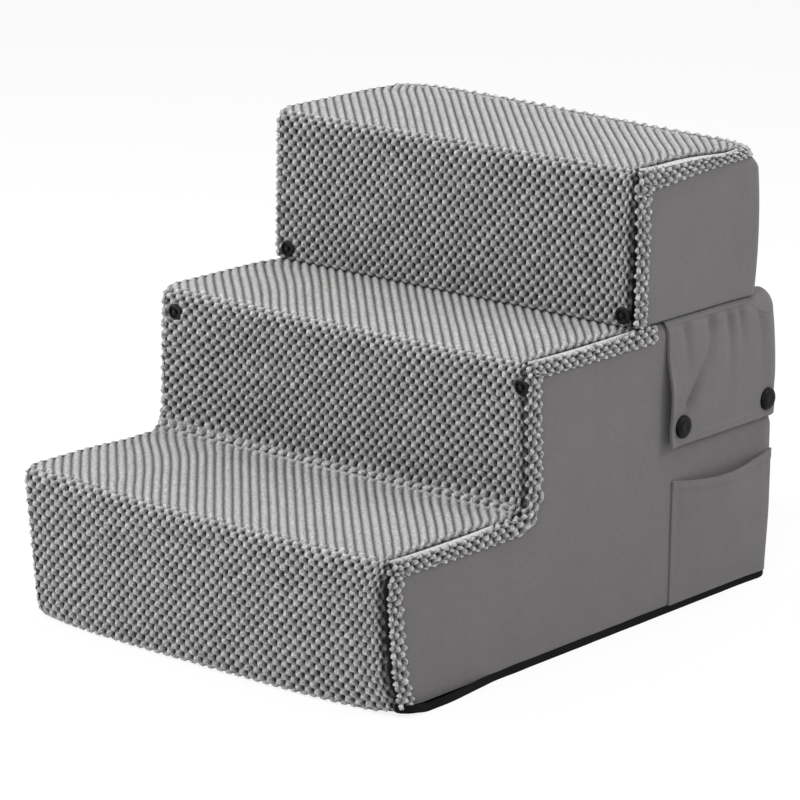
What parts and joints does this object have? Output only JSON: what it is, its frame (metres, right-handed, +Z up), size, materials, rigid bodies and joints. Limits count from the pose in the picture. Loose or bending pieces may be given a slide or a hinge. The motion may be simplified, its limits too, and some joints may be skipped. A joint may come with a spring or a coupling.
{
  "type": "pet stairs",
  "caption": "Foam pet stairs in a bumpy plush and smooth woven cover: a two level base, a loose top block, button-down retaining flaps, a side pocket and rear zips.",
  "frame": {"origin": "on the floor under the middle of the base, half way between the first nose and the base's back", "axes": "+X to the right as one faces the back from the foot of the stairs, +Y from the first step towards the back, +Z up"},
  "size_m": [0.4152, 0.5363, 0.397],
  "materials": {
    "foam": "cream open cell polyurethane foam",
    "plush": "grey short pile plush embossed with rows of round bumps",
    "woven": "dark grey plain woven cloth, matt",
    "seam_tape": "light grey smooth seam tape",
    "non_slip": "black woven cloth with small non-slip dots",
    "cap": "black semi-gloss domed press stud cap",
    "stud": "black moulded press stud",
    "stud_back": "dark stud backing washer",
    "zip_tape": "dark grey zip tape",
    "zip_teeth": "dark grey nylon zip teeth",
    "zip_metal": "dark grey painted zip slider and pull"
  },
  "bodies": {
    "base": {"lower_foam": "foam", "middle_foam": "foam", "anti_slip_base": "non_slip", "side_panel_right": "woven", "side_panel_left": "woven", "deck_panel": "woven", "back_panel": "woven", "step_1_plush": "plush", "step_2_plush": "plush", "side_band_right": "plush", "side_band_left": "plush", "tread_seam_tapes": "seam_tape", "pocket_right": "woven", "flap_seam_strips": "woven", "side_studs": "stud", "side_stud_backs": "stud_back", "riser_2_studs": "stud", "base_zip_tape": "zip_tape", "base_zip_teeth": "zip_teeth", "base_zip_stops": "zip_metal"},
    "flap_right": {"flap_right": "woven", "flap_right_caps": "cap", "flap_right_sockets": "stud"},
    "flap_left": {"flap_left": "woven", "flap_left_caps": "cap", "flap_left_sockets": "stud"},
    "base_zip_slider": {"base_zip_slider": "zip_metal"},
    "base_zip_pull": {"base_zip_pull": "zip_metal"},
    "block": {"block_foam": "foam", "block_bottom_panel": "woven", "block_side_panel_right": "woven", "block_side_panel_left": "woven", "block_back_panel": "woven", "step_3_plush": "plush", "block_band_right": "plush", "block_band_left": "plush", "block_band_rear": "plush", "block_seam_tapes": "seam_tape", "block_studs": "stud", "block_zip_tape": "zip_tape", "block_zip_teeth": "zip_teeth", "block_zip_stops": "zip_metal"},
    "block_zip_slider": {"block_zip_slider": "zip_metal"},
    "block_zip_pull": {"block_zip_pull": "zip_metal"}
  },
  "joints": [
    {"name": "block_lift", "type": "slide", "parent": "base", "child": "block", "axis": [0, 0, 1], "range_m": [0, 0.15]},
    {"name": "flap_right_fold", "type": "hinge", "parent": "base", "child": "flap_right", "pos_m": [0.19653, 0.164, 0.25445], "axis": [0, -1, 0], "range_deg": [0, 120]},
    {"name": "flap_left_fold", "type": "hinge", "parent": "base", "child": "flap_left", "pos_m": [-0.19653, 0.164, 0.25445], "axis": [0, 1, 0], "range_deg": [0, 120]},
    {"name": "base_zip_slide", "type": "slide", "parent": "base", "child": "base_zip_slider", "axis": [-1, 0, 0], "range_m": [0, 0.318]},
    {"name": "base_zip_pull_swing", "type": "hinge", "parent": "base_zip_slider", "child": "base_zip_pull", "pos_m": [0.1591, 0.2699, 0.042], "axis": [0, 0, -1], "range_deg": [0, 180]},
    {"name": "block_zip_slide", "type": "slide", "parent": "block", "child": "block_zip_slider", "axis": [-1, 0, 0], "range_m": [0, 0.318]},
    {"name": "block_zip_pull_swing", "type": "hinge", "parent": "block_zip_slider", "child": "block_zip_pull", "pos_m": [0.1591, 0.2339, 0.3023], "axis": [0, 0, -1], "range_deg": [0, 180]}
  ]
}
